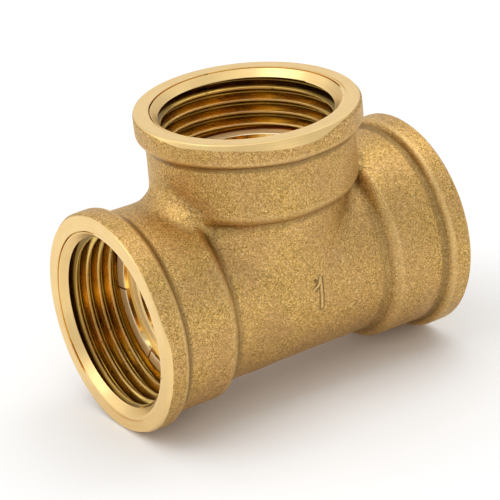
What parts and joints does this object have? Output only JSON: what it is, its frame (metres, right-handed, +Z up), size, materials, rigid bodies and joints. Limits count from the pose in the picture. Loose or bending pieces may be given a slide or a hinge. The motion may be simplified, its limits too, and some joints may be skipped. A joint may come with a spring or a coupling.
{
  "type": "pipe tee fitting",
  "caption": "Equal tee that joins pipes at a right angle, with three internally threaded ports on reinforced sockets.",
  "frame": {"origin": "the point where the centre line of the run and the centre line of the branch cross", "axes": "+X along the run towards one port, +Z up the branch towards its port, +Y towards the side without the raised numeral"},
  "size_m": [0.064, 0.0398, 0.0519],
  "materials": {
    "brass": "as-forged matte skin, bright turned ports and threads"
  },
  "bodies": {
    "root": {"tee_body": "brass"}
  },
  "joints": []
}
